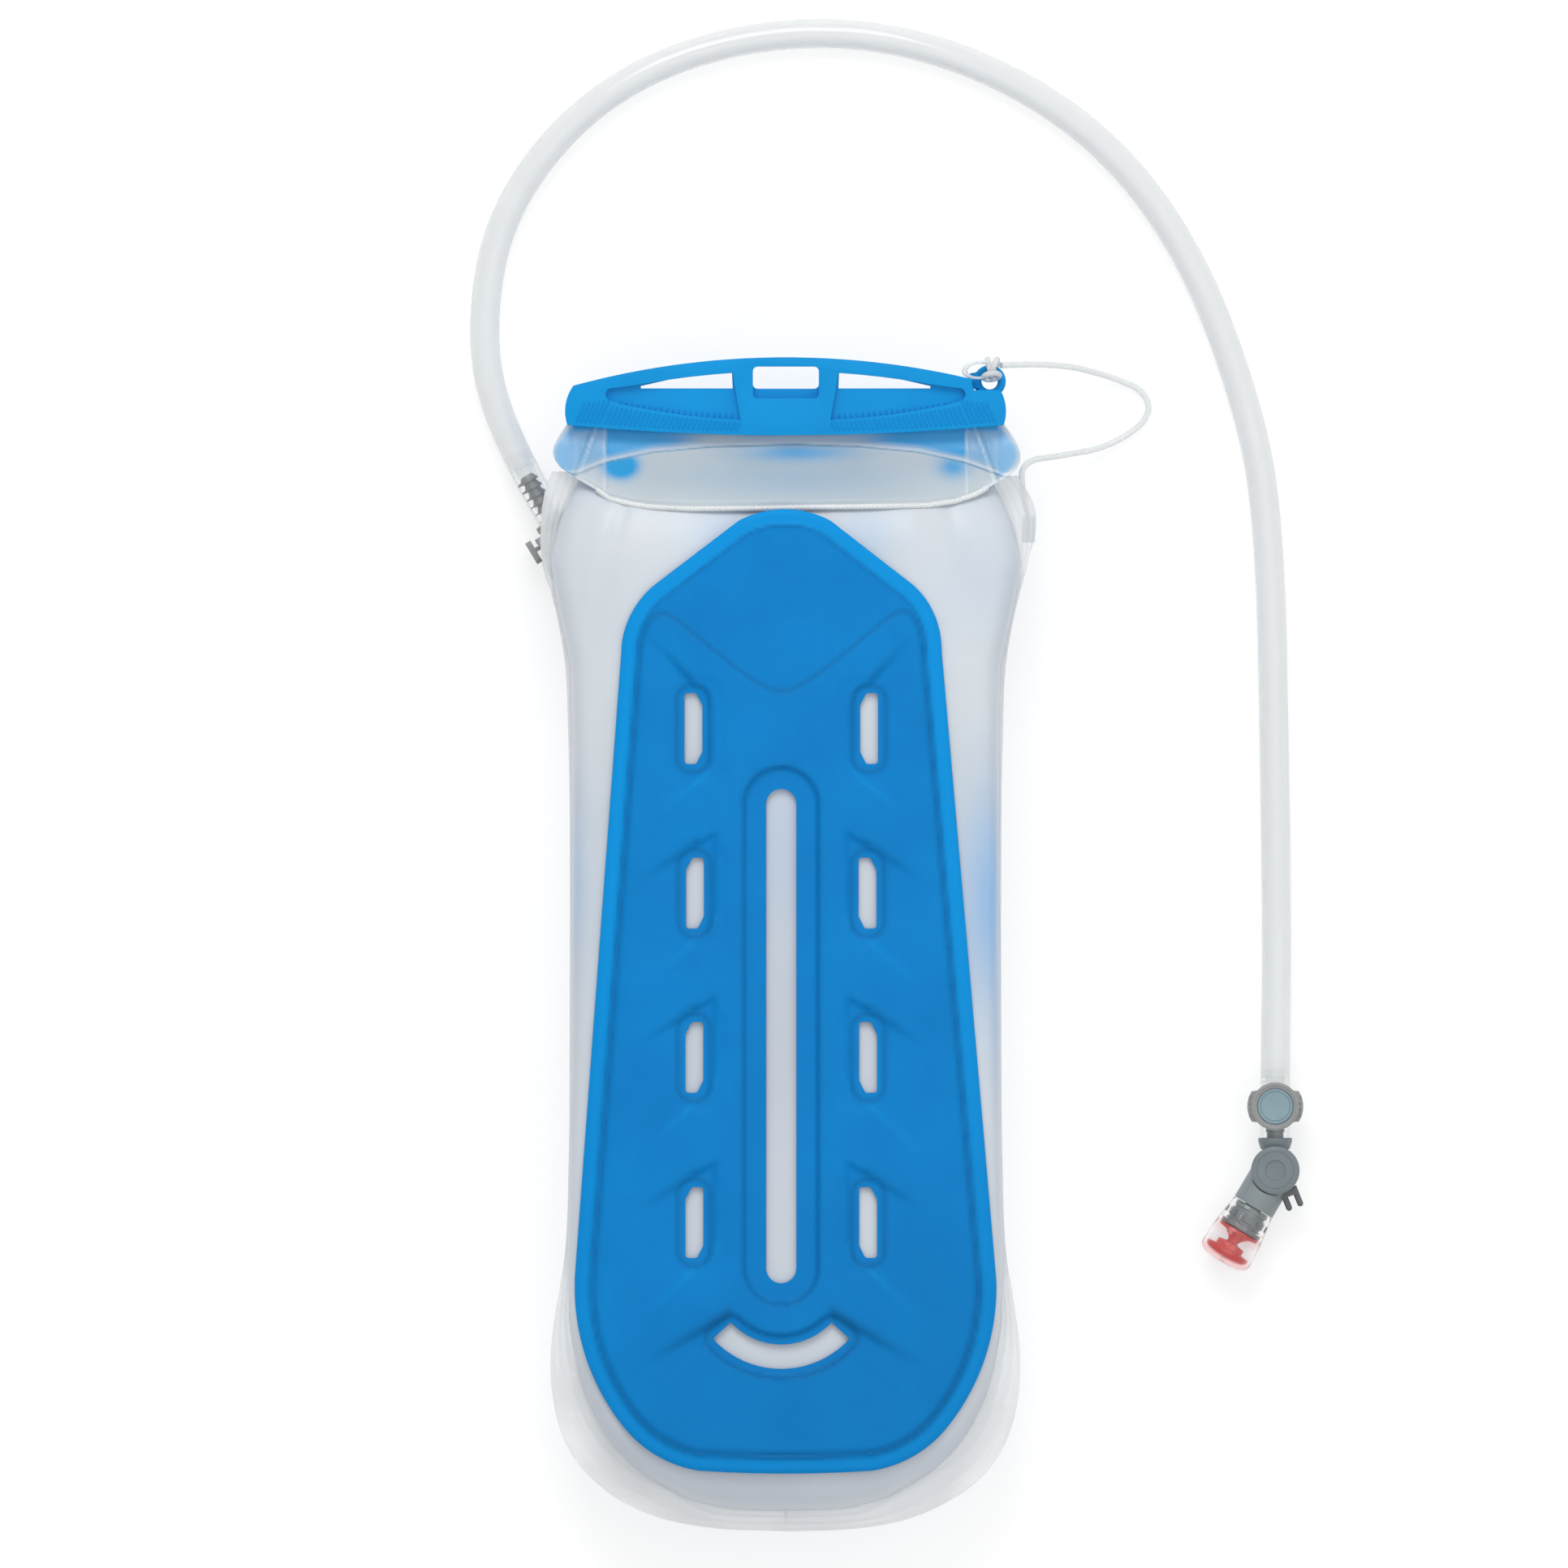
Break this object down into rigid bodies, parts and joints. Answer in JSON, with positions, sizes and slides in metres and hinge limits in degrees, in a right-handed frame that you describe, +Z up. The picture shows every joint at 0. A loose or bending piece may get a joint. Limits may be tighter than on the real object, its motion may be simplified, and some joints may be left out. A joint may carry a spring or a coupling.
{
  "type": "hydration bladder",
  "caption": "Film water reservoir with a moulded back plate, a slide-off mouth closure on a tether, and a plug-in drink tube with a magnet clip and a pivoting bite valve.",
  "frame": {"origin": "on the surface that the reservoir lies on, under the middle of the bag and its closure", "axes": "+Z up through the back plate, +Y towards the slide closure, +X towards the side that the drink tube comes down on"},
  "size_m": [0.2713, 0.4922, 0.057],
  "materials": {
    "film": "satin translucent film",
    "plate": "satin moulded",
    "closure": "satin moulded",
    "grey_plastic": "satin moulded",
    "port_plastic": "satin moulded",
    "lever_plastic": "gloss moulded",
    "seal_rubber": "matte",
    "spring_steel": "bright wire",
    "pin_steel": "plated",
    "tube": "clear flexible",
    "disc_teal": "satin",
    "silicone": "clear flexible",
    "core_red": "satin",
    "cord": "translucent satin",
    "tab": "clear film tab"
  },
  "bodies": {
    "reservoir": {"bag_front_panel": "film", "bag_back_panel": "film", "baffle_web": "film", "back_plate": "plate", "mouth_fold": "film", "port_housing": "grey_plastic", "port_base": "port_plastic", "button_spring": "spring_steel", "poppet_spring": "spring_steel", "slider_tether": "cord", "tether_tab": "tab"},
    "closure": {"slide_closure": "closure", "tether_knot": "cord"},
    "button": {"release_button": "grey_plastic"},
    "poppet": {"shutoff_poppet": "port_plastic", "poppet_seal": "seal_rubber"},
    "hose": {"drink_tube": "tube", "hose_plug": "grey_plastic", "plug_o_ring": "seal_rubber", "valve_body": "grey_plastic", "pivot_o_ring": "seal_rubber", "pivot_cap": "grey_plastic", "pivot_pin": "pin_steel"},
    "clip": {"clip_body": "grey_plastic", "clip_magnet": "pin_steel", "clip_disc": "disc_teal"},
    "bite_arm": {"valve_arm": "grey_plastic", "thumb_lever": "lever_plastic"},
    "bite_tip": {"bite_nipple": "grey_plastic", "bite_sheath": "silicone", "bite_core": "core_red"}
  },
  "joints": [
    {"name": "closure_slide", "type": "slide", "parent": "reservoir", "child": "closure", "axis": [1, 0, 0], "range_m": [0, 0.145], "deforming": ["slider_tether"]},
    {"name": "hose_pull", "type": "slide", "parent": "reservoir", "child": "hose", "axis": [-0.515, 0.8572, 0], "range_m": [0, 0.015]},
    {"name": "button_press", "type": "slide", "parent": "reservoir", "child": "button", "axis": [0.8572, 0.515, 0], "range_m": [0, 0.001], "stiffness_N_per_m": 900, "springref_m": -0.001, "deforming": ["button_spring"]},
    {"name": "poppet_travel", "type": "slide", "parent": "reservoir", "child": "poppet", "axis": [-0.515, 0.8572, 0], "range_m": [0, 0.002], "deforming": ["poppet_spring"]},
    {"name": "clip_turn", "type": "hinge", "parent": "hose", "child": "clip", "pos_m": [0.1592, -0.0528, 0.0092], "axis": [0, 1, 0], "range_deg": [-90, 90]},
    {"name": "arm_pivot", "type": "hinge", "parent": "hose", "child": "bite_arm", "pos_m": [0.1592, -0.0736, 0.0092], "axis": [0, 0, 1], "range_deg": [-40, 30.7]},
    {"name": "tip_swivel", "type": "hinge", "parent": "bite_arm", "child": "bite_tip", "pos_m": [0.1521, -0.08555, 0.0092], "axis": [-0.5105, -0.8599, 0], "continuous": true}
  ],
  "couplings": [
    {"joint": "poppet_travel", "follows": "hose_pull", "ratio": 0.1333}
  ]
}
